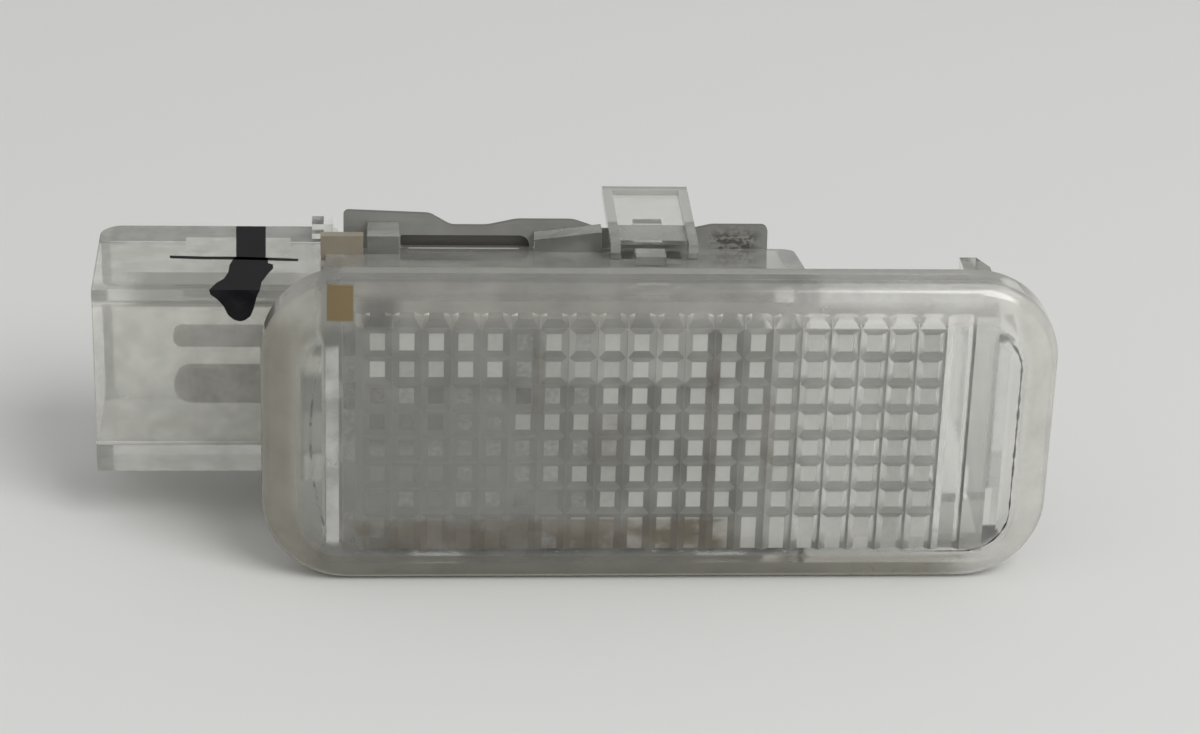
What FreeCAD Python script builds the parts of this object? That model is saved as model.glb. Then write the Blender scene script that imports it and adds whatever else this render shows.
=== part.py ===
import FreeCAD, Part
import math
import os

# Snap-in courtesy light of a car interior, in millimetres.
# +X runs along the light to its snap leg, the window faces -Y and +Z is up.
# The origin is the centre of the flange's rear face, which rests on the trim panel.

Vec = FreeCAD.Vector

# Flange and window
flange_length = 58.0
flange_height = 24.0
flange_corner = 6.3
edge_thickness = 2.8
rim_width = 3.0
rim_rise = 1.4
rim_round = 1.2
window_round = 2.0
window_thickness = 1.8

# Prism grid on the window's inner face: upright ribs crossed by level grooves, flanks at 45 degrees
prism_pitch = 2.11
prism_columns = 20
prism_rows = 7
prism_middle = -0.55
prism_level = 1.0
prism_face = 1.08
prism_height = 0.5
groove_depth = 0.42
groove_floor = 0.04

# Body box behind the flange, open at the rear
wall = 1.3
body_left = 24.4
body_right = 25.6
body_depth = 14.4
shallow_depth = 4.6
step_x = 11.2
step_round = 1.2
body_height_front = 21.2
body_height_rear = 14.6

# Plug socket at the left end
socket_length = 17.1
socket_front = 6.0
socket_depth = 12.0
socket_height = 14.9
socket_wall = 1.5
socket_floor = 0.9
socket_round = 0.8
mouth_round = 1.8
latch_from_mouth = 6.5
latch_length = 7.9
latch_width = 3.7
latch_from_front = 6.5
latch_depth = 0.9
corner_nub = 1.6
corner_nub_rise = 1.2

# Snap leg at the right end
leg_height = 12.8
leg_reach = 15.0
leg_hook = 0.8
leg_ramp = 1.8
leg_tip = 1.3
leg_catch_from = 7.0
leg_catch_to = 12.2
leg_round = 0.3

# Rear tongue, with the core holes under it and the nub in front of it
tongue_left = -3.1
tongue_width = 6.6
tongue_root = 9.9
tongue_post = 1.5
tongue_end = 21.2
tongue_lift = 0.1
tongue_thickness = 0.7
tongue_rim = 0.74
tongue_web = 0.35
core_holes = ((-2.2, -1.1), (1.2, 2.4))
core_front = 10.2
core_rear = 13.2
nub_left = -1.35
nub_length = 2.2
nub_front = 7.3
nub_depth = 1.6
nub_rise = 0.75

# Clear blocks in front of the plate, and the lugs and catch that hold it
left_block = (-21.3, -18.9)
left_block_depth = 2.8
left_block_top = 9.4
middle_block = (-8.7, -3.6)
middle_block_depth = 1.6
middle_block_tops = (8.65, 9.3)
catch_left = -1.1
catch_length = 2.2
catch_depth = 1.0
lug_left_ends = (-18.0, 4.0)
lug_length = 4.0
lug_thickness = 1.1
lug_hook = 1.0
lug_round = 0.35

# Reflector plate: corners (x, z, radius) of its top edge, from left to right
sheet = 0.4
seat_clearance = 0.05
plate_lower = -7.2
plate_corner = 0.8
plate_notch = 8.8
plate_edge = (
    (-23.1, 10.25, 0.4), (-16.6, 10.0, 1.2), (-15.0, 9.05, 1.2), (-12.2, 9.05, 3.0), (-10.0, 9.55, 3.0),
    (-5.7, 9.55, 2.5), (-3.6, plate_notch, 1.0), (3.2, plate_notch, 0.5), (4.9, 9.2, 2.0), (9.2, 9.2, 0.5),
)
plate_right = 9.5
slot_left = -18.8
slot_right = -9.0
slot_top = 8.3
slot_lower = 7.3
slot_round = 0.2
slot_nose = 0.8
louvre_reach = 1.0
louvre_drop = 1.8

# Terminals: a narrow feed blade over a wide earth blade
feed_width = 1.5
earth_width = 2.9
arm_width = 2.6
blade_thickness = 0.8
blade_from_mouth = 5.6
blade_nose = 0.45
blade_middle = 12.0
upper_level = 1.25
lower_level = -2.75
terminal_slot = 0.05
riser_past_wall = 0.4
riser_length = 3.2
riser_top = 9.4
leaf_thickness = 0.4
leaf_length = 6.0
leaf_bend = 0.5

# Wedge-base bulb
bulb_middle = 6.8
bulb_diameter = 10.3
bulb_length = 26.8
bulb_from_wall = 1.5
bulb_glass_wall = 0.6
base_length = 8.5
base_width = 9.5
base_thickness = 2.3
base_round = 0.5
lead_diameter = 0.5
lead_channel = 0.05
lead_fold = 4.0
neck_share = 0.55
shoulder_length = 2.5
dome_cones = 7
filament_from_base = 17.1
filament_diameter = 0.4
filament_reach = 1.4

# Worked out from the sizes above
window_front = -(edge_thickness + rim_rise)
lane_face = window_front + window_thickness
cavity_left = -(body_left - wall)
cavity_right = body_right - wall
draft = (body_height_front - body_height_rear) / 2.0 / body_depth
socket_mouth = -(body_left + socket_length)
socket_rear = socket_front + socket_depth
plate_front = body_depth + seat_clearance
plate_rear = plate_front + sheet
tongue_under = plate_notch + tongue_lift
tongue_top = tongue_under + tongue_thickness
blades = {"feed": (upper_level, feed_width), "earth": (lower_level, earth_width)}
riser_left = -(body_left + riser_past_wall)
bulb_left = cavity_left + bulb_from_wall
bulb_level = (upper_level + lower_level) / 2.0
filament_x = bulb_left + filament_from_base

PLANES = {
    "XY": (lambda u, v, w: Vec(u, v, w), Vec(0, 0, 1)),
    "XZ": (lambda u, v, w: Vec(u, w, v), Vec(0, 1, 0)),
    "YZ": (lambda u, v, w: Vec(w, u, v), Vec(1, 0, 0)),
}


def flat_edges(corners, to_space, closed):
    """Lines through flat corners (u, v, radius), with a tangent arc at each radius."""
    count = len(corners)
    points = [Vec(u, v, 0) for u, v, _ in corners]
    starts, ends, middles = [], [], []
    for i, (_, _, radius) in enumerate(corners):
        inner = closed or 0 < i < count - 1
        if not inner or radius <= 0:
            starts.append(points[i])
            ends.append(points[i])
            middles.append(None)
            continue
        back = (points[i - 1] - points[i]).normalize()
        ahead = (points[(i + 1) % count] - points[i]).normalize()
        half = back.getAngle(ahead) / 2.0
        bisector = (back + ahead).normalize()
        starts.append(points[i] + back * (radius / math.tan(half)))
        ends.append(points[i] + ahead * (radius / math.tan(half)))
        middles.append(points[i] + bisector * (radius / math.sin(half) - radius))
    edges = []
    for i in range(count):
        if middles[i] is not None:
            arc = [to_space(p.x, p.y) for p in (starts[i], middles[i], ends[i])]
            edges.append(Part.Arc(*arc).toShape())
        if i < count - 1 or closed:
            line = [to_space(p.x, p.y) for p in (ends[i], starts[(i + 1) % count])]
            if (line[1] - line[0]).Length > 1e-6:
                edges.append(Part.makeLine(*line))
    return edges


def outline(corners, plane, level):
    """Closed wire of rounded corners in a plane, at a level along its normal."""
    place, _ = PLANES[plane]
    return Part.Wire(Part.__sortEdges__(flat_edges(corners, lambda u, v: place(u, v, level), True)))


def prism(corners, plane, start, stop):
    """Solid between two levels with the outline of the corners."""
    _, normal = PLANES[plane]
    return Part.Face(outline(corners, plane, start)).extrude(normal * (stop - start))


def block(low, high):
    """Plain block between two opposite corners."""
    size = Vec(*high) - Vec(*low)
    return Part.makeBox(size.x, size.y, size.z, Vec(*low))


def rectangle(u_low, u_high, v_low, v_high, radius=0.0):
    corners = ((u_low, v_low), (u_high, v_low), (u_high, v_high), (u_low, v_high))
    return [(u, v, radius) for u, v in corners]


def offset_path(path, distance):
    """Open path moved to its left by a distance, with its corner radii following."""
    points = [Vec(u, v, 0) for u, v, _ in path]
    runs = [(b - a).normalize() for a, b in zip(points, points[1:])]
    sides = [Vec(-run.y, run.x, 0) for run in runs]
    moved = [(points[0] + sides[0] * distance, 0.0)]
    for i in range(1, len(points) - 1):
        spread = (sides[i - 1] + sides[i]).normalize()
        reach = distance / spread.dot(sides[i])
        left_turn = runs[i - 1].cross(runs[i]).z > 0
        radius = path[i][2] - distance if left_turn else path[i][2] + distance
        moved.append((points[i] + spread * reach, radius))
    moved.append((points[-1] + sides[-1] * distance, 0.0))
    return [(p.x, p.y, radius) for p, radius in moved]


def bent_strip(path, thickness, low, high):
    """Sheet of one thickness that follows a path in XY, standing between two heights."""
    near = path
    far = offset_path(path, thickness)
    loop = near + far[::-1]
    return prism(loop, "XY", low, high)


def joined(shapes):
    whole = shapes[0].fuse(shapes[1:]) if len(shapes) > 1 else shapes[0]
    return whole.removeSplitter()


def half_height(y, inset=0.0):
    """Half the body's height at a depth: its top and bottom lean in towards the rear."""
    return body_height_front / 2.0 - draft * y - inset


def flange_plate():
    """Flange with a sloped rim that rises to the flat window."""
    half_l, half_h = flange_length / 2.0, flange_height / 2.0
    outer = rectangle(-half_l, half_l, -half_h, half_h, flange_corner)
    window = rectangle(
        rim_width - half_l, half_l - rim_width, rim_width - half_h, half_h - rim_width,
        flange_corner - rim_width,
    )
    edge = prism(outer, "XZ", -edge_thickness, 0.0)
    sections = [outline(outer, "XZ", -edge_thickness), outline(window, "XZ", window_front)]
    rim = Part.makeLoft(sections, True, True)
    plate = joined([edge, rim])
    for level, radius in ((-edge_thickness, rim_round), (window_front, window_round)):
        crease = [e for e in plate.Edges if all(abs(v.Y - level) < 1e-4 for v in e.Vertexes)]
        plate = plate.makeFillet(radius, crease)
    return plate


def body_walls():
    """Outer form of the body box: plan outline and leaning side profile in common."""
    plan = [
        (body_right, 0.0, 0.0), (-body_left, 0.0, 0.0), (-body_left, body_depth, 0.0),
        (step_x, body_depth, step_round), (step_x, shallow_depth, step_round),
        (body_right, shallow_depth, 0.0),
    ]
    side = [
        (0.0, half_height(0.0), 0.0), (body_depth, half_height(body_depth), 0.0),
        (body_depth, -half_height(body_depth), 0.0), (0.0, -half_height(0.0), 0.0),
    ]
    tall = prism(plan, "XY", -half_height(0.0), half_height(0.0))
    return tall.common(prism(side, "YZ", -body_left, body_right))


def body_cavity():
    """Space inside the body, from the window to past the open rear, with the step wall left standing."""
    rear = body_depth + wall
    foot = shallow_depth - wall
    plan = [
        (cavity_left, lane_face, 0.0), (cavity_right, lane_face, 0.0), (cavity_right, rear, 0.0),
        (step_x, rear, 0.0), (step_x, foot, 0.0), (step_x - wall, foot, 0.0),
        (step_x - wall, rear, 0.0), (cavity_left, rear, 0.0),
    ]
    top = half_height(0.0, wall)
    side = [
        (lane_face, top, 0.0), (0.0, top, 0.0), (rear, half_height(rear, wall), 0.0),
        (rear, -half_height(rear, wall), 0.0), (0.0, -top, 0.0), (lane_face, -top, 0.0),
    ]
    return prism(plan, "XY", -top, top).common(prism(side, "YZ", cavity_left, cavity_right))


def rib(middle):
    """One upright rib with a flat face, over the height of the window's inner side."""
    low = -half_height(0.0, wall)
    half_face = prism_face / 2.0
    half_foot = half_face + prism_height
    section = (
        (-half_foot, 0.0), (half_foot, 0.0), (half_face, prism_height), (-half_face, prism_height),
    )
    return prism([(middle + u, lane_face + v, 0.0) for u, v in section], "XY", low, -low)


def groove(level, reach):
    """One level V-groove across the ribs."""
    crest = lane_face + prism_height
    half_floor = groove_floor / 2.0
    half_mouth = half_floor + groove_depth
    section = [
        (crest - groove_depth, level - half_floor, 0.0), (crest - groove_depth, level + half_floor, 0.0),
        (crest, level + half_mouth, 0.0), (crest, level - half_mouth, 0.0),
    ]
    return prism(section, "YZ", prism_middle - reach, prism_middle + reach)


def prism_grid():
    """Ribs cut into square prisms by the grooves, with a plain rib at each end and plain feet below."""
    half_grid = prism_columns * prism_pitch / 2.0
    first_rib = prism_middle - (prism_columns + 1) * prism_pitch / 2.0
    first_lane = prism_level - prism_rows * prism_pitch / 2.0
    grooves = [groove(first_lane + i * prism_pitch, half_grid) for i in range(prism_rows + 1)]
    return [rib(first_rib + i * prism_pitch).cut(grooves) for i in range(prism_columns + 2)]


def plug_socket():
    """Plug socket: a shroud open to -X, with a latch pocket inside its top wall."""
    half = socket_height / 2.0
    inner = half - socket_wall
    right = -(body_left - socket_floor)
    plan = [
        (socket_mouth, socket_front, 0.0), (right, socket_front, 0.0),
        (right, socket_rear, socket_round), (socket_mouth, socket_rear, mouth_round),
    ]
    shell = prism(plan, "XY", -half, half)
    hollow = rectangle(socket_front + socket_wall, socket_rear - socket_wall, -inner, inner, socket_round)
    shell = shell.cut(prism(hollow, "YZ", socket_mouth - 1.0, right - socket_floor))
    latch_left = socket_mouth + latch_from_mouth
    latch_front = socket_front + latch_from_front
    latch = block(
        (latch_left, latch_front, inner - socket_wall),
        (latch_left + latch_length, latch_front + latch_width, inner + latch_depth),
    )
    nub_right = right - socket_round / 2.0
    nub = block(
        (nub_right - corner_nub, socket_rear - socket_round - corner_nub, inner),
        (nub_right, socket_rear - socket_round, half + corner_nub_rise),
    )
    return joined([shell.cut(latch), nub])


def snap_leg():
    """End wall carried on as a leg, with a ramped hook that snaps behind the panel."""
    outer = body_right
    hook = body_right + leg_hook
    profile = [
        (cavity_right, 0.0, 0.0), (outer, 0.0, 0.0), (outer, leg_catch_from, 0.0),
        (hook, leg_catch_to, leg_round), (hook, leg_reach - leg_ramp, leg_round),
        (cavity_right + leg_tip, leg_reach, 0.0), (cavity_right, leg_reach, 0.0),
    ]
    return prism(profile, "XY", -leg_height / 2.0, leg_height / 2.0)


def rear_tongue():
    """Flat tongue with a raised rim on three sides, its two posts and the catch behind the plate."""
    right = tongue_left + tongue_width
    web_front = tongue_root + tongue_post
    plate = block((tongue_left, tongue_root, tongue_under), (right, tongue_end, tongue_top))
    recess = block(
        (tongue_left + tongue_rim, tongue_root - tongue_post, tongue_under + tongue_web),
        (right - tongue_rim, tongue_end - tongue_rim, tongue_top + tongue_thickness),
    )
    gap = block(
        (tongue_left + tongue_rim, tongue_root - tongue_post, tongue_under - tongue_lift),
        (right - tongue_rim, web_front, tongue_top + tongue_thickness),
    )
    foot = half_height(tongue_root, wall / 2.0)
    posts = [
        block((left, tongue_root, foot), (left + tongue_rim, web_front, tongue_top))
        for left in (tongue_left, right - tongue_rim)
    ]
    catch_front = plate_rear + seat_clearance
    catch = block(
        (catch_left, catch_front, half_height(body_depth)),
        (catch_left + catch_length, catch_front + catch_depth, tongue_under + tongue_web),
    )
    return joined([plate.cut([recess, gap]), catch] + posts)


def top_blocks():
    """Nub in front of the tongue and the two clear blocks in front of the plate."""
    nub_top = half_height(nub_front) + nub_rise
    nub_foot = half_height(nub_front + nub_depth, wall / 2.0)
    nub = block((nub_left, nub_front, nub_foot), (nub_left + nub_length, nub_front + nub_depth, nub_top))
    foot = half_height(body_depth, wall / 2.0)
    left = block(
        (left_block[0], body_depth - left_block_depth, foot), (left_block[1], body_depth, left_block_top),
    )
    slope = [
        (middle_block[0], foot, 0.0), (middle_block[1], foot, 0.0),
        (middle_block[1], middle_block_tops[1], 0.0), (middle_block[0], middle_block_tops[0], 0.0),
    ]
    return [nub, left, prism(slope, "XZ", body_depth - middle_block_depth, body_depth)]


def tongue_core_holes():
    """Openings that the moulding tool leaves in the top wall under the tongue."""
    low = half_height(core_rear, 2.0 * wall)
    high = tongue_under - tongue_lift
    return [block((left, core_front, low), (right, core_rear, high)) for left, right in core_holes]


def plate_lugs():
    """Hooked lugs on the bottom wall that carry the plate's lower edge."""
    floor = plate_lower - seat_clearance
    hook_front = plate_rear + seat_clearance
    lugs = []
    for left in lug_left_ends:
        section = [
            (body_depth - 2.0 * lug_thickness, floor, 0.0), (hook_front, floor, 0.0),
            (hook_front, floor + lug_hook, 0.0), (hook_front + lug_thickness, floor + lug_hook, lug_round),
            (hook_front + lug_thickness, floor - lug_thickness, lug_round),
            (body_depth - 2.0 * lug_thickness, floor - lug_thickness, 0.0),
        ]
        lugs.append(prism(section, "YZ", left, left + lug_length))
    return lugs


def lens_housing():
    """The clear moulding: flange, prismatic window, body, socket, leg, tongue and lugs."""
    shape = joined([flange_plate(), body_walls(), plug_socket(), snap_leg()])
    shape = shape.cut(body_cavity())
    shape = joined([shape, rear_tongue()] + top_blocks() + plate_lugs() + prism_grid())
    passages = [terminal_passage(level, width) for level, width in blades.values()]
    return shape.cut(passages + [riser_passage()] + tongue_core_holes())


def reflector_plate():
    """Upright sheet over the rear of the body, with a wavy top edge and a louvred slot."""
    lower_left = (plate_edge[0][0], plate_lower, plate_corner)
    lower_right = (plate_right, plate_lower, plate_corner)
    plate = prism([lower_left, *plate_edge, lower_right], "XZ", plate_front, plate_rear)
    slot = [
        (slot_left, slot_lower, slot_round), (slot_right, slot_lower, slot_round),
        (slot_right, slot_top, slot_nose), (slot_left, slot_top, slot_round),
    ]
    plate = plate.cut(prism(slot, "XZ", plate_front - sheet, plate_rear + sheet))
    hood = [
        (plate_rear - sheet / 2.0, slot_top + sheet, 0.0), (plate_rear, slot_top + sheet, sheet),
        (plate_rear + louvre_reach, slot_top + sheet - louvre_drop, 0.0),
        (plate_rear + louvre_reach - sheet, slot_top - louvre_drop, 0.0),
        (plate_rear - sheet / 2.0, slot_top, 0.0),
    ]
    return joined([plate, prism(hood, "YZ", slot_left, slot_right)])


def terminal_passage(level, width):
    """Opening for one blade through the wall between the socket and the body."""
    half_t = blade_thickness / 2.0 + terminal_slot
    half_w = width / 2.0 + terminal_slot
    return block(
        (-(body_left + wall), blade_middle - half_t, level - half_w),
        (cavity_left + wall, blade_middle + half_t, level + half_w),
    )


def riser_passage():
    """Slot for the feed terminal's riser, up through the top wall."""
    half_t = blade_thickness / 2.0 + terminal_slot
    return block(
        (riser_left - terminal_slot, blade_middle - half_t, upper_level),
        (riser_left + riser_length + terminal_slot, blade_middle + half_t, riser_top + wall),
    )


def terminal(level, width):
    """Stamped terminal: plug blade, arm and the two leaves that grip the bulb's base."""
    nose = socket_mouth + blade_from_mouth
    web = bulb_left - lead_diameter * 2.0 - leaf_thickness
    half_w = width / 2.0
    half_t = blade_thickness / 2.0
    half_arm = arm_width / 2.0
    grip = base_thickness / 2.0 + lead_diameter + seat_clearance
    blade_end = web + blade_thickness
    plan = [
        (nose, level - half_w, blade_nose * width), (blade_end, level - half_w, 0.0),
        (blade_end, level + half_w, 0.0), (nose, level + half_w, blade_nose * width),
    ]
    strips = [prism(plan, "XZ", blade_middle - half_t, blade_middle + half_t)]
    bend = leaf_bend + leaf_thickness
    tip = bulb_left + leaf_length
    for face in (bulb_middle + grip, bulb_middle - grip - leaf_thickness):
        leaf = [(web, blade_middle, 0.0), (web, face, bend), (tip, face, 0.0)]
        strips.append(bent_strip(leaf, leaf_thickness, level - half_arm, level + half_arm))
    return joined(strips)


def feed_riser():
    """Upright tab of the feed terminal that reaches up past the top wall."""
    half_t = blade_thickness / 2.0
    return block(
        (riser_left, blade_middle - half_t, upper_level),
        (riser_left + riser_length, blade_middle + half_t, riser_top),
    )


def round_path(points, diameter):
    """Round wire along straight runs, mitred where it folds."""
    path = Part.makePolygon(points)
    ring = Part.Wire(Part.makeCircle(diameter / 2.0, points[0], points[1] - points[0]))
    return path.makePipeShell([ring], True, False, 1)


def bulb_lead(level, side):
    """One lead of the bulb: out of the filament, through the base, folded along the base's face."""
    fold_x = bulb_left - lead_diameter / 2.0 - seat_clearance
    tip = bulb_left + lead_fold
    face = bulb_middle + side * (base_thickness + lead_diameter) / 2.0
    corners = ((filament_x, bulb_middle), (fold_x, bulb_middle), (fold_x, face), (tip, face))
    return round_path([Vec(x, y, level) for x, y in corners], lead_diameter)


def revolved(profile):
    """Solid turned about the bulb's axis from (x, radius) edges."""
    axis_point = Vec(0, bulb_middle, bulb_level)
    return Part.Face(Part.Wire(profile)).revolve(axis_point, Vec(1, 0, 0), 360)


def capsule(left, shoulder, right, radius):
    """Turned capsule: small end, conical shoulder, straight side and a tip of short cones."""
    dome = right - radius
    profile = [(left, 0.0), (left, radius * neck_share), (shoulder, radius), (dome, radius)]
    for i in range(1, dome_cones):
        turn = math.radians(90.0 * i / dome_cones)
        profile.append((dome + radius * math.sin(turn), radius * math.cos(turn)))
    profile.append((right, 0.0))
    points = [Vec(x, bulb_middle + r, bulb_level) for x, r in profile]
    return revolved([Part.makeLine(a, b) for a, b in zip(points, points[1:] + points[:1])])


def bulb_glass():
    """Hollow capsule on a flat glass base, with a channel for each lead."""
    radius = bulb_diameter / 2.0
    right = bulb_left + bulb_length
    neck_x = bulb_left + base_length
    shoulder_x = neck_x + shoulder_length
    half_t = base_thickness / 2.0
    section = rectangle(
        bulb_middle - half_t, bulb_middle + half_t,
        bulb_level - base_width / 2.0, bulb_level + base_width / 2.0, base_round,
    )
    base = prism(section, "YZ", bulb_left, shoulder_x)
    outer = capsule(neck_x - bulb_glass_wall, shoulder_x, right, radius)
    inner = capsule(
        neck_x + bulb_glass_wall, shoulder_x + bulb_glass_wall, right - bulb_glass_wall,
        radius - bulb_glass_wall,
    )
    bore = lead_diameter / 2.0 + lead_channel
    reach = shoulder_x + 2.0 * bulb_glass_wall - bulb_left
    holes = [
        Part.makeCylinder(bore, reach + 1.0, Vec(bulb_left - 1.0, bulb_middle, level), Vec(1, 0, 0))
        for level, _ in blades.values()
    ]
    return joined([base, outer]).cut([inner] + holes)


def bulb_filament():
    """Filament bridging the ends of the two leads."""
    front = filament_x + filament_reach
    ends = (lower_level, upper_level)
    corners = ((filament_x, ends[0]), (front, ends[0]), (front, ends[1]), (filament_x, ends[1]))
    return round_path([Vec(x, bulb_middle, z) for x, z in corners], filament_diameter)


os.makedirs("parts", exist_ok=True)
pieces = {
    "lens_housing": lens_housing(),
    "reflector_plate": reflector_plate(),
    "feed_terminal": joined([terminal(*blades["feed"]), feed_riser()]),
    "earth_terminal": terminal(*blades["earth"]),
    "bulb_glass": bulb_glass(),
    "bulb_feed_lead": bulb_lead(upper_level, 1),
    "bulb_earth_lead": bulb_lead(lower_level, -1),
    "bulb_filament": bulb_filament(),
}
for name, shape in pieces.items():
    box = shape.BoundBox
    extent = [round(v, 2) for v in (box.XMin, box.XMax, box.YMin, box.YMax, box.ZMin, box.ZMax)]
    print(name, "solids", len(shape.Solids), "valid", shape.isValid(), "mm3", round(shape.Volume, 2), extent)
    shape.exportStep(f"parts/{name}.step")
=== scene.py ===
import math

import bpy
from mathutils import Matrix, Vector


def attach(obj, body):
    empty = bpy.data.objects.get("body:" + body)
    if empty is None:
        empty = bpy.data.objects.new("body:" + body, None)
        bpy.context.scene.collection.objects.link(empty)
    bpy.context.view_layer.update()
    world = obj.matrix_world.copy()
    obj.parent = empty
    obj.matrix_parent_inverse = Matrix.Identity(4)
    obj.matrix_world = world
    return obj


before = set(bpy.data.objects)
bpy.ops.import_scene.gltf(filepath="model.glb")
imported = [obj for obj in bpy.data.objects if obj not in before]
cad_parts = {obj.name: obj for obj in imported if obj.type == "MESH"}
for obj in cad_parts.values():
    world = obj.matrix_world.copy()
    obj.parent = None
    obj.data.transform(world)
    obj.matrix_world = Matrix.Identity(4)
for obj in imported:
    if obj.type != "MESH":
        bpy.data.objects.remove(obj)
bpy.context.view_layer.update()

MM = 0.001

# Camera that stands where the photograph was taken, in the part's own frame
CAMERA_YAW = math.radians(5.34)
CAMERA_PITCH = math.radians(26.11)
CAMERA_ROLL = math.radians(2.39)
CAMERA_DISTANCE = 259.6 * MM
IMAGE_WIDTH = 1200.0
FOCAL_PIXELS = 3523.0
SHIFT_PIXELS = (57.4, 50.3)
SENSOR = 36.0
CAMERA_CLIP = (0.01, 10.0)

# Floor and light, in metres and watts
FLOOR_LEVEL = -12.02 * MM
FLOOR_HALF = 3.0
FLOOR_COLOUR = (0.70, 0.70, 0.685)
FLOOR_ROUGHNESS = 0.8
SKY_BACK = 0.46
SKY_FRONT = 0.66
SKY_FADE = (-0.8, 0.6)
KEY_PLACE = (0.34, -0.42, 0.56)
KEY_SIZE = 0.5
KEY_POWER = 3.6
LIGHT_BOUNCES = 14

# Range that most of a noise's values lie in
NOISE_RANGE = (0.3, 0.7)

# Plastic's colours
CLEAR = (0.90, 0.905, 0.87)
WINDOW_FILM = (0.50, 0.50, 0.465)
# The rim's colours: painted shade over most of it, painted light at its top and right end
RIM_SHADED = (0.40, 0.385, 0.32)
RIM_LIT = (0.74, 0.735, 0.69)
# White for the hazed left strip, and a painted highlight on the body's top rear edge
WHITE_HAZE_AND_HIGHLIGHT = (0.93, 0.93, 0.90)
SOCKET_PALE = (0.89, 0.89, 0.845)
SOCKET_SCUFFED = (0.74, 0.74, 0.69)
FOLD_GREY = (0.40, 0.40, 0.37)
BODY_TOP_GREY = (0.66, 0.66, 0.62)
TONGUE_RIM_GREY = (0.62, 0.62, 0.585)
# Painted shade for the dark refraction band along the flange's top
TOP_EDGE_SHADE = (0.43, 0.43, 0.40)
# Colour of a darker patch on the rim's upper left
DARK_PATCH_GREY = (0.10, 0.10, 0.092)
STAIN_BROWN = (0.17, 0.122, 0.05)
CREASE_BLACK = (0.012, 0.011, 0.009)

# Prism grid's colours, which are painted light and shade
TILE_PAINTED_SHADE = (0.40, 0.40, 0.37)
TILE_PAINTED_LIGHT = (0.98, 0.98, 0.95)
GROOVE_PAINTED_SHADE_LEFT = (0.33, 0.33, 0.305)
GROOVE_PAINTED_SHADE_RIGHT = (0.42, 0.42, 0.395)
LANE_PAINTED_SHADE = (0.32, 0.32, 0.295)
LANE_PAINTED_DEEP_SHADE = (0.20, 0.20, 0.18)
LANE_PAINTED_LIGHT = (0.78, 0.78, 0.75)

# Colours of the metal pieces, the bulb and the ink
SHEET_DARK = (0.275, 0.275, 0.258)
SHEET_LIGHT = (0.32, 0.32, 0.30)
SHEET_GRAIN = (0.21, 0.21, 0.195)
SHEET_RUST = (0.055, 0.046, 0.034)
# Painted shade on the sheet's faces turned up or sideways and under the louvre
SHEET_SHADE = (0.15, 0.145, 0.133)
BRASS_BROWN = (0.19, 0.16, 0.095)
BRASS_WORN = (0.26, 0.235, 0.165)
BLADE_BROWN = (0.15, 0.125, 0.06)
BLADE_SPOTS = (0.085, 0.07, 0.032)
# Painted highlight on the riser's top
RISER_HIGHLIGHT = (0.36, 0.325, 0.25)
GLASS_CLEAR = (0.98, 0.98, 0.97)
GLASS_CLOUDED = (0.93, 0.935, 0.93)
WIRE_DARK = (0.36, 0.34, 0.32)
WIRE_LIGHT = (0.46, 0.44, 0.42)
INK_DEEP = (0.006, 0.006, 0.007)
INK_THIN = (0.016, 0.015, 0.017)

# Refraction of the plastic and of the bulb's glass
PLASTIC_IOR = 1.56
GLASS_IOR = 1.5

# Window's outline on the flange, in millimetres
WINDOW_HALF = (26.0, 9.0)
WINDOW_CORNER = 3.3
FRONT_DEPTH = -2.9

# Where the socket and its blades begin, left of the body, in millimetres
SOCKET_END = (-26.0, -25.0)

# Dirty arc at the window's left end: its middle and radius in millimetres
ARC_MIDDLE = (1.6, 0.4)
ARC_RADIUS = 27.0

# Prism grid on the window's inner side, in millimetres
GRID_PITCH = 2.11
GRID_MIDDLE = (-0.55, 1.0)
GRID_X = (-23.05, 20.55)
GRID_Y = (-2.45, -1.85)
GRID_Z = (-9.4, 8.4)

# Lanes of the grid with a brown run in them: count from the middle, lowest and highest point
LANE_HALF = 0.45
STAINED_LANES = ((-4, 1.5, 7.5), (2, -9.0, 6.5), (4, -4.0, 3.5))

# Rear tongue: where its raised rim lies, in millimetres
TONGUE_LEVEL = 8.85
TONGUE_FRONT = 9.8
TONGUE_INNER = (-2.36, 2.76)
TONGUE_INNER_END = 20.46
TONGUE_SIDES = (-3.3, 3.7)

# Ink mark on the socket: outlines in millimetres, on the top face (x, y) and the front face (x, z)
SOCKET_TOP = 7.45
SOCKET_FRONT = 6.0
INK_LIFT = 0.02
INK_BAND = ((-31.3, 17.9), (-31.1, 11.9), (-28.9, 11.9), (-29.05, 17.9))
INK_NECK = (
    (-31.25, 11.95), (-31.55, 10.6), (-31.6, 9.2), (-31.9, 8.0), (-32.4, 7.3), (-32.9, 5.98),
    (-29.2, 5.98), (-29.1, 7.4), (-28.75, 8.7), (-28.3, 10.0), (-28.35, 10.7), (-28.7, 10.9),
    (-28.75, 11.95),
)
INK_DRIP = (
    (-32.9, 7.47), (-32.8, 7.1), (-32.3, 6.7), (-31.85, 6.15), (-31.55, 5.45), (-31.1, 5.05),
    (-30.65, 4.93), (-30.3, 5.03), (-29.9, 5.35), (-29.65, 6.0), (-29.4, 7.0), (-29.2, 7.47),
)
INK_LINE = (
    (-36.1, 12.25), (-36.0, 11.75), (-33.5, 11.6), (-31.2, 11.55), (-28.8, 11.45), (-26.5, 11.3),
    (-26.45, 11.75), (-28.8, 11.95), (-31.2, 12.1), (-33.5, 12.1),
)

# Dirt in the crease: where it is kept along the window's outline, in millimetres
CREASE_WIDTH = (0.02, 0.15)
CREASE_RIGHT_X = (23.0, 25.3)
CREASE_RIGHT_Z = (-8.8, 5.0)
CREASE_CORNER_X = (15.0, 24.0)
CREASE_CORNER_Z = (-8.0, -7.0)
CREASE_FOOT_Z = (-8.4, -7.8)
CREASE_TOP_Z = (7.6, 8.8)
ARC_LEFT_X = (-24.3, -24.2)
ARC_WIDTH = (0.04, 0.14)

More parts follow.
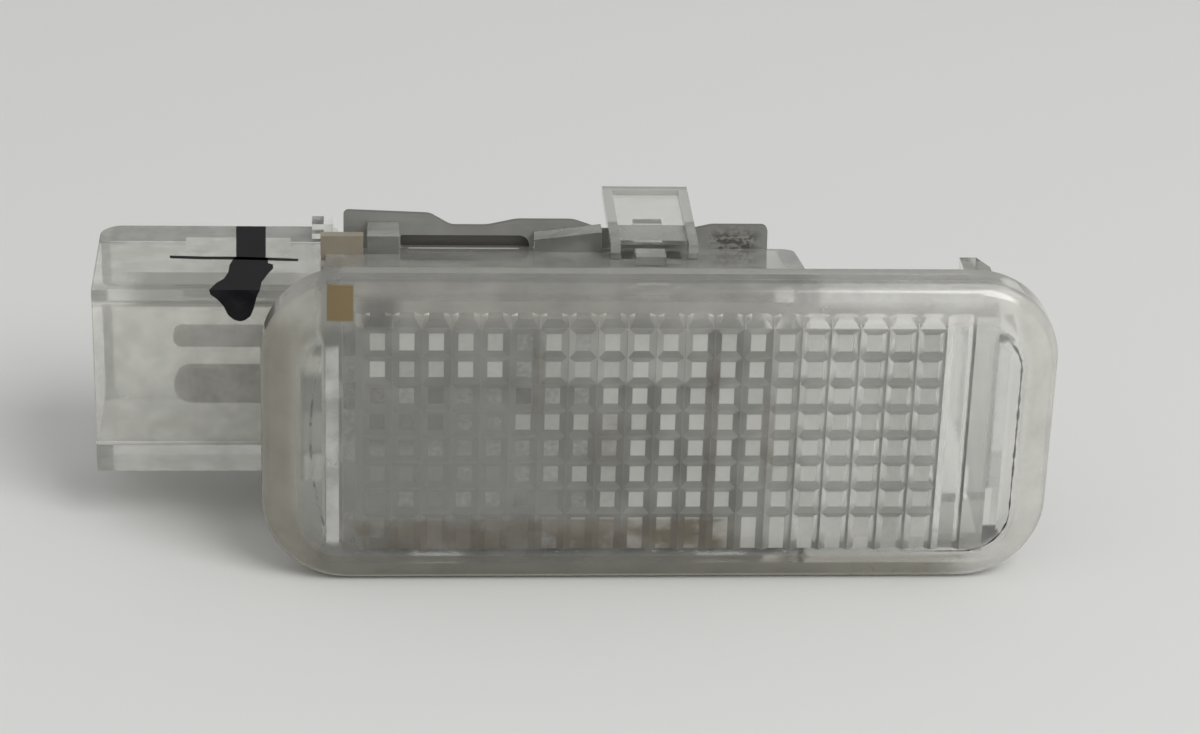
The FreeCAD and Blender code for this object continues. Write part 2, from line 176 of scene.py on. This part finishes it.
# Brown stain: the grid's foot, a patch in its middle and the flange's upper left corner, in millimetres
STAIN_Y = (-2.6, -0.4)
STAIN_Z = (-9.8, 9.2)
STAIN_FOOT_X = (-24.5, 5.5)
STAIN_FOOT_Z = (-9.6, -6.9)
STAIN_PATCH_X = (-5.0, -2.6)
STAIN_PATCH_Z = (-2.4, 1.6)
STAIN_CORNER_X = (-24.2, -22.3)
STAIN_CORNER_Y = (-2.4, -1.6)
STAIN_CORNER_Z = (9.5, 11.8)

# Tiles and lanes of the grid painted lit and shaded, and a painted glint, in millimetres
TILE_FACE_Y = (-2.0, -1.95)
BRIGHT_TILES_X = (-11.0, 0.5)
LAST_TILES_X = (13.0, 18.0)
UPPER_TILES_X = (-14.0, -9.0)
UPPER_TILES_Z = (2.2, 7.0)
MIDDLE_TILES_X = (-10.6, 0.0)
MIDDLE_TILES_Z = (-1.6, 1.5)
FIRST_TILE_X = (-22.0, -21.5)
UNEVEN_TILES_X = (-10.0, 0.0)
GROOVES_X = (-4.0, 8.0)
LIT_LANES_X = (5.0, 13.0)
SHADED_LANES_X = (-8.0, 6.5)
# Where a painted glint lies in the lanes of the top rows
GLINT_X = (-8.5, 2.5)
GLINT_Z = (3.9, 4.6)
TILE_HAZE = (0.25, 0.96)
GROOVE_HAZE = 0.82
LANE_HAZE = (0.88, 0.3)

# Hazed zones of the housing, in millimetres, and how hazed they are
FRONT_SOFT = 0.2
FLANGE_BACK = (0.0, 0.1)
BODY_FRONT = (0.1, 0.2)
RIM_EDGE = (-0.4, 0.8)
RIM_RIGHT_X = (8.0, 18.0)
RIM_LEFT_X = (-27.0, -24.5)
RIM_HAZE = (0.22, 0.32)
FILM_X = (-20.0, 4.0)
FILM_TOP_Z = (2.5, 5.0)
FILM_FOOT_Z = (-7.2, -5.8)
FILM_HAZE = 0.23
SOCKET_HAZE = (0.18, 0.26)
FOLD_X = (-38.6, -26.0)
FOLD_Y = (SOCKET_FRONT - 0.2, SOCKET_FRONT + 3.2)
FOLD_Z = (6.0, 6.2)
FOLD_HAZE = 0.34
TONGUE_RIM_HAZE = 0.4
LEFT_WALL_X = (-24.6, -23.06)
LEFT_WALL_Y = (-2.3, -2.1)
LEFT_WALL_Z = (-10.0, 10.0)
LEFT_WALL_HAZE = 0.75
STRIP_X = (-24.3, -23.35)
STRIP_Z = (-8.2, 7.6)
STRIP_HAZE = (0.2, 0.38)
BODY_TOP_Y = (0.1, 14.3)
BODY_TOP_Z = (6.0, 6.5)
BODY_TOP_HAZE = (0.22, 0.34)
# Body's top rear edge, painted white as a highlight
REAR_EDGE_X = (-18.2, -9.8)
REAR_EDGE_Y = (13.85, 13.95)
REAR_EDGE_Z = (6.9, 7.0)
REAR_HIGHLIGHT_HAZE = 0.8

# Parts of the rim painted lighter as lit, its top edge painted darker as shade, and a darker patch at its
# upper left, in millimetres
LIT_TOP_X = (-4.0, 14.0)
LIT_TOP_Z = (8.0, 10.0)
LIT_RIGHT_X = (20.0, 25.0)
TOP_EDGE_Z = (11.5, 11.8)
DARK_PATCH_X = (-21.9, -19.2)
DARK_PATCH_Y = (-2.4, -2.2)
DARK_PATCH_Z = (8.9, 11.0)

# Rust and the louvre's painted shade on the plate, and the riser's top with a painted highlight, in
# millimetres
RUST_X = (4.9, 8.4)
RUST_TOP_Z = (8.2, 9.0)
RUST_FOOT_Z = (5.6, 6.8)
LOUVRE_Y = (14.6, 14.7)
RISER_Z = (5.5, 6.5)


def make_camera():
    """Camera from yaw, pitch and roll about the flange's centre."""
    ahead = Vector((
        math.sin(CAMERA_YAW) * math.cos(CAMERA_PITCH),
        math.cos(CAMERA_YAW) * math.cos(CAMERA_PITCH),
        -math.sin(CAMERA_PITCH),
    ))
    level_right = ahead.cross(Vector((0, 0, 1))).normalized()
    level_up = level_right.cross(ahead)
    right = level_right * math.cos(CAMERA_ROLL) + level_up * math.sin(CAMERA_ROLL)
    up = right.cross(ahead)
    data = bpy.data.cameras.new("camera")
    data.sensor_width = SENSOR
    data.lens = FOCAL_PIXELS / IMAGE_WIDTH * SENSOR
    data.shift_x = -SHIFT_PIXELS[0] / IMAGE_WIDTH
    data.shift_y = SHIFT_PIXELS[1] / IMAGE_WIDTH
    data.clip_start, data.clip_end = CAMERA_CLIP
    camera = bpy.data.objects.new("camera", data)
    turn = Matrix((right, up, -ahead)).transposed()
    camera.matrix_world = Matrix.Translation(-ahead * CAMERA_DISTANCE) @ turn.to_4x4()
    bpy.context.scene.collection.objects.link(camera)
    bpy.context.scene.camera = camera


class Graph:
    """A material's node tree, with one call for each kind of node used here."""

    def __init__(self, name):
        self.material = bpy.data.materials.new(name)
        self.material.use_nodes = True
        self.tree = self.material.node_tree
        self.shader = self.tree.nodes["Principled BSDF"]
        texture = self.tree.nodes.new("ShaderNodeTexCoord")
        self.place = texture.outputs["Object"]
        self.facing = texture.outputs["Normal"]

    def feed(self, socket, value):
        if isinstance(value, bpy.types.NodeSocket):
            self.tree.links.new(value, socket)
        else:
            socket.default_value = value

    def set(self, name, value):
        self.feed(self.shader.inputs[name], value)

    def math(self, operation, first, second=0.0, clamp=False):
        node = self.tree.nodes.new("ShaderNodeMath")
        node.operation = operation
        node.use_clamp = clamp
        self.feed(node.inputs[0], first)
        self.feed(node.inputs[1], second)
        return node.outputs[0]

    def add(self, first, second):
        return self.math("ADD", first, second)

    def times(self, first, second):
        return self.math("MULTIPLY", first, second)

    def ramp(self, value, low, high, from_value=0.0, to_value=1.0):
        """Smooth step from one value to another as the input goes from low to high."""
        node = self.tree.nodes.new("ShaderNodeMapRange")
        node.interpolation_type = "SMOOTHSTEP"
        self.feed(node.inputs["Value"], value)
        ends = (("From Min", low), ("From Max", high), ("To Min", from_value), ("To Max", to_value))
        for key, number in ends:
            node.inputs[key].default_value = number
        return node.outputs["Result"]

    def fall(self, value, low, high):
        """Smooth step from 1 down to 0."""
        return self.ramp(value, low, high, 1.0, 0.0)

    def spread(self, noise, least, most):
        """A noise spread over the values from least to most."""
        return self.ramp(noise, *NOISE_RANGE, least, most)

    def between(self, value, low, high, soft):
        """1 from low to high and 0 outside, with soft ends."""
        rise = self.ramp(value, low - soft, low + soft)
        return self.times(rise, self.fall(value, high - soft, high + soft))

    def most(self, *values):
        """The largest of several values."""
        result = values[0]
        for value in values[1:]:
            result = self.math("MAXIMUM", result, value)
        return result

    def length(self, across, along):
        return self.math("SQRT", self.add(self.times(across, across), self.times(along, along)))

    def axes(self):
        """Place in millimetres along X, Y and Z."""
        node = self.tree.nodes.new("ShaderNodeSeparateXYZ")
        self.feed(node.inputs[0], self.place)
        return [self.times(out, 1.0 / MM) for out in node.outputs]

    def normal(self):
        """The surface's own direction along X, Y and Z."""
        node = self.tree.nodes.new("ShaderNodeSeparateXYZ")
        self.feed(node.inputs[0], self.facing)
        return list(node.outputs)

    def stepped(self, value, middle, pitch):
        """The middle of the step that a value falls in, where one step's middle is given."""
        count = self.math("FLOOR", self.add(self.times(value, 1.0 / pitch), 0.5 - middle / pitch))
        return self.add(self.times(count, pitch), middle)

    def chance(self, first, second):
        """A number from 0 to 1 for each pair of values."""
        pair = self.tree.nodes.new("ShaderNodeCombineXYZ")
        self.feed(pair.inputs[0], first)
        self.feed(pair.inputs[1], second)
        node = self.tree.nodes.new("ShaderNodeTexWhiteNoise")
        self.feed(node.inputs["Vector"], pair.outputs[0])
        return node.outputs["Value"]

    def noise(self, grain, detail, stretch=(1.0, 1.0, 1.0), rough=0.55):
        """Noise whose marks are about grain millimetres wide."""
        mapping = self.tree.nodes.new("ShaderNodeMapping")
        self.feed(mapping.inputs["Vector"], self.place)
        mapping.inputs["Scale"].default_value = [1.0 / (grain * MM * s) for s in stretch]
        node = self.tree.nodes.new("ShaderNodeTexNoise")
        self.feed(node.inputs["Vector"], mapping.outputs[0])
        node.inputs["Scale"].default_value = 1.0
        node.inputs["Detail"].default_value = detail
        node.inputs["Roughness"].default_value = rough
        return node.outputs["Fac"]

    def mix(self, factor, first, second):
        """Mix of two colours."""
        node = self.tree.nodes.new("ShaderNodeMix")
        node.data_type = "RGBA"
        self.feed(node.inputs["Factor"], factor)
        for name, colour in (("A", first), ("B", second)):
            if not isinstance(colour, bpy.types.NodeSocket):
                colour = (*colour, 1.0)
            self.feed(node.inputs[name], colour)
        return node.outputs["Result"]

    def blend(self, factor, first, second):
        """Mix of two numbers."""
        node = self.tree.nodes.new("ShaderNodeMix")
        self.feed(node.inputs["Factor"], factor)
        self.feed(node.inputs["A"], first)
        self.feed(node.inputs["B"], second)
        return node.outputs["Result"]

    def bump(self, height, distance, strength):
        node = self.tree.nodes.new("ShaderNodeBump")
        node.inputs["Strength"].default_value = strength
        node.inputs["Distance"].default_value = distance * MM
        self.feed(node.inputs["Height"], height)
        self.feed(self.shader.inputs["Normal"], node.outputs["Normal"])


def window_distance(g, x, z):
    """Distance outside the window's rounded outline, in millimetres, negative inside it."""
    over_x = g.math("SUBTRACT", g.math("ABSOLUTE", x), WINDOW_HALF[0] - WINDOW_CORNER)
    over_z = g.math("SUBTRACT", g.math("ABSOLUTE", z), WINDOW_HALF[1] - WINDOW_CORNER)
    corner_x = g.most(over_x, 0.0)
    corner_z = g.most(over_z, 0.0)
    reach = g.length(corner_x, corner_z)
    inside = g.math("MINIMUM", g.most(over_x, over_z), 0.0)
    return g.math("SUBTRACT", g.add(reach, inside), WINDOW_CORNER)


def crease_dirt(g, x, z, edge, front):
    """Dirt in the crease round the window: heavy at the lower right, thin at the left."""
    width = g.ramp(g.noise(grain=1.3, detail=4.0), 0.35, 0.7, *CREASE_WIDTH)
    near = g.math("DIVIDE", g.math("ABSOLUTE", edge), width)
    line = g.times(g.fall(near, 0.5, 1.4), front)
    right = g.times(g.ramp(x, *CREASE_RIGHT_X), g.ramp(z, *CREASE_RIGHT_Z, 1.0, 0.85))
    corner = g.times(g.ramp(x, *CREASE_CORNER_X), g.fall(z, *CREASE_CORNER_Z))
    foot = g.times(g.ramp(z, *CREASE_FOOT_Z, 0.5, 0.0), g.ramp(g.noise(grain=0.7, detail=2.0), 0.56, 0.64))
    keep = g.most(right, corner, foot)
    line = g.times(g.times(line, keep), g.fall(z, *CREASE_TOP_Z))

    from_x = g.add(x, -ARC_MIDDLE[0])
    from_z = g.add(z, -ARC_MIDDLE[1])
    off_arc = g.math("ABSOLUTE", g.add(g.length(from_x, from_z), -ARC_RADIUS))
    arc = g.times(g.fall(off_arc, *ARC_WIDTH), g.fall(x, *ARC_LEFT_X))
    arc = g.times(g.times(arc, front), g.ramp(g.noise(grain=0.9, detail=4.0), 0.40, 0.62, 0.1, 0.85))
    return g.most(line, arc)


def brown_stain(g, x, y, z):
    """Brown film along the foot of the prism grid, and thinner runs up a few of its lanes."""
    inner = g.times(g.between(y, *STAIN_Y, soft=0.15), g.between(z, *STAIN_Z, soft=0.1))
    blotch = g.noise(grain=2.4, detail=4.0, stretch=(1.5, 1.0, 0.8))
    foot = g.times(g.between(z, *STAIN_FOOT_Z, soft=0.25), g.between(x, *STAIN_FOOT_X, soft=1.2))
    foot = g.times(foot, g.ramp(blotch, 0.30, 0.58, 0.5, 1.0))
    runs = g.times(g.between(x, *STAIN_PATCH_X, soft=0.8), g.between(z, *STAIN_PATCH_Z, soft=0.8))
    for count, low, high in STAINED_LANES:
        lane = GRID_MIDDLE[0] + count * GRID_PITCH
        across = g.between(x, lane - LANE_HALF, lane + LANE_HALF, soft=0.1)
        run = g.times(across, g.between(z, low, high, soft=0.8))
        runs = g.most(runs, run)
    runs = g.times(runs, g.ramp(blotch, 0.30, 0.60, 0.15, 0.6))
    corner = g.times(g.between(x, *STAIN_CORNER_X, soft=0.06), g.between(z, *STAIN_CORNER_Z, soft=0.08))
    corner = g.times(corner, g.fall(y, *STAIN_CORNER_Y))
    return g.most(g.times(g.most(foot, runs), inner), corner)


def painted_tile_light(g, x, z):
    """How light each prism's face is painted, standing in for the light through it: bright at the right
    and in the top rows, dull at the lower left.
    """
    column = g.stepped(x, GRID_MIDDLE[0] + GRID_PITCH / 2.0, GRID_PITCH)
    row = g.stepped(z, GRID_MIDDLE[1], GRID_PITCH)
    right = g.times(g.ramp(column, *BRIGHT_TILES_X), g.ramp(column, *LAST_TILES_X, 1.0, 0.7))
    upper = g.times(g.ramp(row, *UPPER_TILES_Z), g.ramp(column, *UPPER_TILES_X, 1.0, 0.5))
    middle = g.between(row, *MIDDLE_TILES_Z, soft=0.3)
    middle = g.times(middle, g.between(column, *MIDDLE_TILES_X, soft=0.5))
    light = g.most(right, upper, g.times(middle, 0.4))
    light = g.times(light, g.ramp(x, *FIRST_TILE_X))
    light = g.add(light, g.spread(g.noise(grain=0.4, detail=3.0), -0.05, 0.05))
    uneven = g.ramp(column, *UNEVEN_TILES_X, 0.3, 0.16)
    toss = g.times(g.ramp(g.chance(column, row), 0.0, 1.0, -1.0, 1.0), uneven)
    return g.math("ADD", light, toss, clamp=True)


def prism_grid(g, x, y, z, haze, tone):
    """Haze and colour of the prism grid: tiles painted light, with painted shade in the grooves and lanes
    between them, painted light in the lanes at the right and a painted glint.
    """
    lean_x, lean_y, lean_z = (g.math("ABSOLUTE", lean) for lean in g.normal())
    inside = g.times(g.between(y, *GRID_Y, soft=0.02), g.between(z, *GRID_Z, soft=0.03))
    inside = g.times(g.between(x, *GRID_X, soft=0.03), inside)
    flat = g.ramp(lean_y, 0.8, 0.9)
    face = g.times(inside, g.times(flat, g.ramp(y, *TILE_FACE_Y)))
    bottom = g.times(flat, g.fall(y, *TILE_FACE_Y))
    level = g.times(inside, g.most(g.ramp(lean_z, 0.4, 0.6), bottom))
    upright = g.times(inside, g.ramp(lean_x, 0.4, 0.6))

    # Painted light and shade on the tile faces
    light = painted_tile_light(g, x, z)
    haze = g.blend(face, haze, g.ramp(light, 0.0, 0.6, *TILE_HAZE))
    tone = g.mix(face, tone, g.mix(light, TILE_PAINTED_SHADE, TILE_PAINTED_LIGHT))
    # Grooves painted as shade, less of it at the right
    haze = g.blend(level, haze, GROOVE_HAZE)
    tone = g.mix(level, tone, g.mix(g.ramp(x, *GROOVES_X), GROOVE_PAINTED_SHADE_LEFT, GROOVE_PAINTED_SHADE_RIGHT))
    # Lanes painted as deep shade in the middle and as light at the right
    lit_lanes = g.ramp(x, *LIT_LANES_X)
    # A painted glint in the lanes of the top rows
    painted_glint = g.times(g.between(x, *GLINT_X, soft=1.0), g.ramp(z, *GLINT_Z))
    dull = g.mix(g.between(x, *SHADED_LANES_X, soft=1.5), LANE_PAINTED_SHADE, LANE_PAINTED_DEEP_SHADE)
    haze = g.blend(upright, haze, g.ramp(lit_lanes, 0.0, 1.0, *LANE_HAZE))
    lane_tone = g.mix(g.most(lit_lanes, g.times(painted_glint, 0.8)), dull, LANE_PAINTED_LIGHT)
    tone = g.mix(upright, tone, lane_tone)
    return haze, tone


def tongue_rim(g, x, y, z):
    """Raised rim round the rear tongue, which looks greyer than the thin web inside it."""
    sides = g.between(x, *TONGUE_INNER, soft=0.05)
    web = g.times(sides, g.fall(y, TONGUE_INNER_END - 0.05, TONGUE_INNER_END + 0.05))
    above = g.ramp(z, TONGUE_LEVEL, TONGUE_LEVEL + 0.05)
    tongue = g.times(above, g.ramp(y, TONGUE_FRONT, TONGUE_FRONT + 0.1))
    near = g.between(x, *TONGUE_SIDES, soft=0.05)
    return g.times(g.times(tongue, near), g.math("SUBTRACT", 1.0, web))


def clear_plastic():
    """Aged clear moulding: hazed rim and socket, dirt in the crease, a brown stain behind the window, with
    painted light and shade on the rim, its top edge, the body's rear edge and the prism grid.
    """
    g = Graph("clear_plastic")
    x, y, z = g.axes()
    edge = window_distance(g, x, z)
    front = g.fall(y, FRONT_DEPTH, FRONT_DEPTH + FRONT_SOFT)
    flange = g.fall(y, *FLANGE_BACK)
    rim = g.times(flange, g.ramp(edge, *RIM_EDGE))
    body = g.ramp(x, *SOCKET_END)
    socket = g.times(g.fall(x, *SOCKET_END), g.ramp(y, *BODY_FRONT))
    cloud = g.noise(grain=3.0, detail=4.0)
    speck = g.noise(grain=0.35, detail=3.0)

    haze = g.ramp(cloud, 0.35, 0.75, 0.03, 0.12)
    left_haze = g.times(g.ramp(x, *FILM_X, 1.0, 0.1), g.spread(cloud, 0.6, 1.0))
    mid_height = g.times(g.ramp(z, *FILM_TOP_Z, 1.0, 0.35), g.ramp(z, *FILM_FOOT_Z, 0.2, 1.0))
    film_left = g.times(front, g.times(left_haze, mid_height))
    haze = g.blend(film_left, haze, FILM_HAZE)
    # More haze on the rim towards its right end, and at its left end, where it darkens the rim as painted
    # shade
    ends = g.most(g.times(g.ramp(x, *RIM_RIGHT_X), 0.12), g.ramp(x, *RIM_LEFT_X, 0.2, 0.0))
    haze = g.blend(rim, haze, g.add(g.spread(cloud, *RIM_HAZE), ends))
    haze = g.blend(socket, haze, g.spread(cloud, *SOCKET_HAZE))
    fold = g.times(g.between(y, *FOLD_Y, soft=0.06), g.ramp(z, *FOLD_Z))
    fold = g.times(fold, g.between(x, *FOLD_X, soft=1.5))
    haze = g.blend(fold, haze, FOLD_HAZE)
    lip = tongue_rim(g, x, y, z)
    haze = g.blend(lip, haze, TONGUE_RIM_HAZE)
    left_wall = g.times(g.between(x, *LEFT_WALL_X, soft=0.02), g.ramp(y, *LEFT_WALL_Y))
    left_wall = g.times(left_wall, g.between(z, *LEFT_WALL_Z, soft=0.1))
    haze = g.blend(left_wall, haze, LEFT_WALL_HAZE)
    strip = g.times(front, g.times(g.between(x, *STRIP_X, soft=0.06), g.between(z, *STRIP_Z, soft=0.3)))
    haze = g.blend(strip, haze, g.spread(cloud, *STRIP_HAZE))
    lean_z = g.normal()[2]
    body_top = g.times(g.ramp(lean_z, 0.6, 0.8), g.ramp(z, *BODY_TOP_Z))
    body_top = g.times(g.times(body_top, g.between(y, *BODY_TOP_Y, soft=0.05)), body)
    haze = g.blend(body_top, haze, g.spread(cloud, *BODY_TOP_HAZE))
    # Painted highlight: the body's top rear edge made white and opaque
    rear_edge_highlight = g.times(g.ramp(z, *REAR_EDGE_Z), g.between(x, *REAR_EDGE_X, soft=0.2))
    rear_edge_highlight = g.times(g.ramp(y, *REAR_EDGE_Y), rear_edge_highlight)
    haze = g.blend(rear_edge_highlight, haze, REAR_HIGHLIGHT_HAZE)
    crease = crease_dirt(g, x, z, edge, front)
    stain = brown_stain(g, x, y, z)

    # Painted light on the rim's top middle and right end; the rest of the rim is painted as shade
    lit_rim_top = g.times(g.ramp(z, *LIT_TOP_Z), g.ramp(x, *LIT_TOP_X, 0.5, 1.0))
    rim_lit = g.most(lit_rim_top, g.ramp(x, *LIT_RIGHT_X))
    tone = g.mix(film_left, CLEAR, WINDOW_FILM)
    tone = g.mix(rim, tone, g.mix(rim_lit, RIM_SHADED, RIM_LIT))
    tone = g.mix(strip, tone, WHITE_HAZE_AND_HIGHLIGHT)
    scuffed = g.mix(g.ramp(g.noise(grain=1.6, detail=5.0), 0.42, 0.62), SOCKET_PALE, SOCKET_SCUFFED)
    tone = g.mix(g.times(socket, 0.8), tone, scuffed)
    tone = g.mix(fold, tone, FOLD_GREY)
    tone = g.mix(body_top, tone, BODY_TOP_GREY)
    tone = g.mix(rear_edge_highlight, tone, WHITE_HAZE_AND_HIGHLIGHT)
    tone = g.mix(lip, tone, TONGUE_RIM_GREY)
    haze, tone = prism_grid(g, x, y, z, haze, tone)
    # The flange's top face painted darker, as a painted dark refraction band
    top_edge_shade = g.times(flange, g.times(g.ramp(lean_z, 0.9, 0.98), g.ramp(z, *TOP_EDGE_Z)))
    tone = g.mix(top_edge_shade, tone, TOP_EDGE_SHADE)
    # A darker patch on the rim's upper left front
    dark_patch = g.times(g.between(x, *DARK_PATCH_X, soft=0.7), g.between(z, *DARK_PATCH_Z, soft=0.5))
    dark_patch = g.times(dark_patch, g.ramp(y, *DARK_PATCH_Y, 0.6, 0.0))
    tone = g.mix(dark_patch, tone, DARK_PATCH_GREY)
    tone = g.mix(stain, tone, STAIN_BROWN)
    tone = g.mix(crease, tone, CREASE_BLACK)
    g.set("Base Color", tone)
    solid = g.most(haze, g.times(stain, 0.8), crease)
    g.set("Transmission Weight", g.math("SUBTRACT", 1.0, solid, clamp=True))
    rough = g.spread(cloud, 0.06, 0.12)
    rough = g.blend(front, rough, g.ramp(speck, 0.3, 0.8, 0.10, 0.18))
    rough = g.blend(socket, rough, 0.06)
    g.set("Roughness", rough)
    g.set("IOR", PLASTIC_IOR)
    g.bump(g.noise(grain=0.8, detail=2.0), distance=0.02, strength=0.2)
    return g.material


def sheet_metal():
    """Dull grey sheet with a rolled grain and rust spots towards its right end, with painted shade on its
    faces turned up or sideways and behind the louvre.
    """
    g = Graph("sheet_metal")
    x, y, z = g.axes()
    grain = g.noise(grain=0.5, detail=3.0, stretch=(8.0, 1.0, 1.0))
    patch = g.noise(grain=2.5, detail=3.0)
    rust_height = g.times(g.ramp(z, *RUST_TOP_Z, 1.0, 0.2), g.ramp(z, *RUST_FOOT_Z))
    rust_zone = g.times(g.between(x, *RUST_X, soft=0.7), rust_height)
    rust_spots = g.noise(grain=0.45, detail=6.0, stretch=(1.4, 1.0, 1.0), rough=0.7)
    rust = g.times(rust_zone, g.ramp(rust_spots, 0.42, 0.54))
    tone = g.mix(g.spread(patch, 0.0, 1.0), SHEET_DARK, SHEET_LIGHT)
    tone = g.mix(g.times(g.ramp(grain, 0.4, 0.7), 0.2), tone, SHEET_GRAIN)
    tone = g.mix(g.times(rust, 0.9), tone, SHEET_RUST)
    lean_x, lean_y, lean_z = g.normal()
    # Painted shade: faces turned up or sideways, and forward faces behind the louvre, made darker
    facing_shade = g.most(g.ramp(lean_z, 0.4, 0.7), g.ramp(g.math("ABSOLUTE", lean_x), 0.4, 0.7))
    louvre_shade = g.times(g.ramp(y, *LOUVRE_Y), g.fall(lean_y, -0.3, -0.1))
    tone = g.mix(g.most(g.times(facing_shade, 0.8), louvre_shade), tone, SHEET_SHADE)
    g.set("Base Color", tone)
    g.set("Metallic", g.blend(rust, 0.35, 0.0))
    g.set("Roughness", g.spread(patch, 0.45, 0.58))
    g.bump(grain, distance=0.02, strength=0.3)
    return g.material


def terminal_brass():
    """Tarnished brass, dark and spotted on the blades, with a painted highlight where the riser stands
    out.
    """
    g = Graph("terminal_brass")
    patch = g.noise(grain=1.2, detail=4.0)
    worn = g.ramp(patch, 0.42, 0.62)
    x, _, z = g.axes()
    tone = g.mix(worn, BRASS_BROWN, BRASS_WORN)
    spots = g.ramp(g.noise(grain=0.45, detail=4.0), 0.42, 0.62)
    blades = g.mix(spots, BLADE_BROWN, BLADE_SPOTS)
    tone = g.mix(g.fall(x, *SOCKET_END), tone, blades)
    # Painted highlight: the riser made lighter where it stands above the body
    tone = g.mix(g.ramp(z, *RISER_Z), tone, RISER_HIGHLIGHT)
    g.set("Base Color", tone)
    g.set("Metallic", 0.5)
    g.set("Roughness", g.spread(patch, 0.5, 0.32))
    g.bump(g.noise(grain=0.4, detail=2.0), distance=0.01, strength=0.3)
    return g.material


def lamp_glass():
    g = Graph("lamp_glass")
    cloud = g.noise(grain=4.0, detail=3.0)
    g.set("Base Color", g.mix(g.ramp(cloud, 0.4, 0.7), GLASS_CLEAR, GLASS_CLOUDED))
    g.set("Transmission Weight", 1.0)
    g.set("IOR", GLASS_IOR)
    g.set("Roughness", g.spread(cloud, 0.01, 0.04))
    return g.material


def wire():
    g = Graph("wire")
    drawn = g.noise(grain=0.3, detail=2.0, stretch=(10.0, 1.0, 1.0))
    g.set("Base Color", g.mix(drawn, WIRE_DARK, WIRE_LIGHT))
    g.set("Metallic", 1.0)
    g.set("Roughness", g.spread(drawn, 0.28, 0.42))
    return g.material


def ink():
    """Black ink, glossy where it pooled."""
    g = Graph("ink")
    pool = g.noise(grain=1.5, detail=2.0)
    g.set("Base Color", g.mix(g.spread(pool, 0.0, 1.0), INK_DEEP, INK_THIN))
    g.set("Roughness", g.spread(pool, 0.3, 0.5))
    g.set("Specular IOR Level", 0.06)
    g.bump(pool, distance=0.04, strength=0.4)
    return g.material


def dress(node, material):
    """Gives a CAD node its material in every slot."""
    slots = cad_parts[node].data.materials
    if not slots:
        slots.append(material)
    for i in range(len(slots)):
        slots[i] = material


def film(name, outline, to_space, material):
    """Thin film with the given outline on a flat face."""
    mesh = bpy.data.meshes.new(name)
    points = [[c * MM for c in to_space(u, v)] for u, v in outline]
    mesh.from_pydata(points, [], [tuple(range(len(points)))])
    mesh.materials.append(material)
    piece = bpy.data.objects.new(name, mesh)
    bpy.context.scene.collection.objects.link(piece)
    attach(piece, "root")


def make_ink():
    black = ink()

    def on_top(x, y):
        return x, y, SOCKET_TOP + INK_LIFT

    def on_front(x, z):
        return x, SOCKET_FRONT - INK_LIFT, z

    for name, outline in (("ink_band", INK_BAND), ("ink_neck", INK_NECK), ("ink_line", INK_LINE)):
        film(name, outline, on_top, black)
    film("ink_drip", INK_DRIP, on_front, black)


def make_floor():
    mesh = bpy.data.meshes.new("floor")
    half = FLOOR_HALF
    corners = [(-half, -half, 0), (half, -half, 0), (half, half, 0), (-half, half, 0)]
    mesh.from_pydata(corners, [], [(0, 1, 2, 3)])
    floor = bpy.data.objects.new("floor", mesh)
    floor.location.z = FLOOR_LEVEL
    bpy.context.scene.collection.objects.link(floor)
    g = Graph("floor")
    g.set("Base Color", (*FLOOR_COLOUR, 1))
    g.set("Roughness", FLOOR_ROUGHNESS)
    mesh.materials.append(g.material)


def make_light():
    """Sky that is brighter in front, and one soft key light from the front right."""
    world = bpy.data.worlds.new("studio")
    world.use_nodes = True
    tree = world.node_tree
    place = tree.nodes.new("ShaderNodeTexCoord")
    split = tree.nodes.new("ShaderNodeSeparateXYZ")
    fade = tree.nodes.new("ShaderNodeMapRange")
    tree.links.new(place.outputs["Generated"], split.inputs[0])
    tree.links.new(split.outputs["Y"], fade.inputs["Value"])
    numbers = (*SKY_FADE, SKY_FRONT, SKY_BACK)
    for key, number in zip(("From Min", "From Max", "To Min", "To Max"), numbers):
        fade.inputs[key].default_value = number
    tree.nodes["Background"].inputs["Color"].default_value = (1.0, 1.0, 1.0, 1.0)
    tree.links.new(fade.outputs["Result"], tree.nodes["Background"].inputs["Strength"])
    bpy.context.scene.world = world
    data = bpy.data.lights.new("key", "AREA")
    data.shape = "DISK"
    data.size = KEY_SIZE
    data.energy = KEY_POWER
    lamp = bpy.data.objects.new("key", data)
    lamp.location = KEY_PLACE
    lamp.rotation_euler = (-Vector(KEY_PLACE)).to_track_quat("-Z", "Y").to_euler()
    bpy.context.scene.collection.objects.link(lamp)


make_camera()
make_floor()
make_light()
dress("lens_housing", clear_plastic())
dress("reflector_plate", sheet_metal())
brass = terminal_brass()
dress("feed_terminal", brass)
dress("earth_terminal", brass)
dress("bulb_glass", lamp_glass())
lead = wire()
for node in ("bulb_feed_lead", "bulb_earth_lead", "bulb_filament"):
    dress(node, lead)
make_ink()

scene = bpy.context.scene
scene.view_settings.view_transform = "Standard"
scene.cycles.max_bounces = LIGHT_BOUNCES
scene.cycles.transmission_bounces = LIGHT_BOUNCES
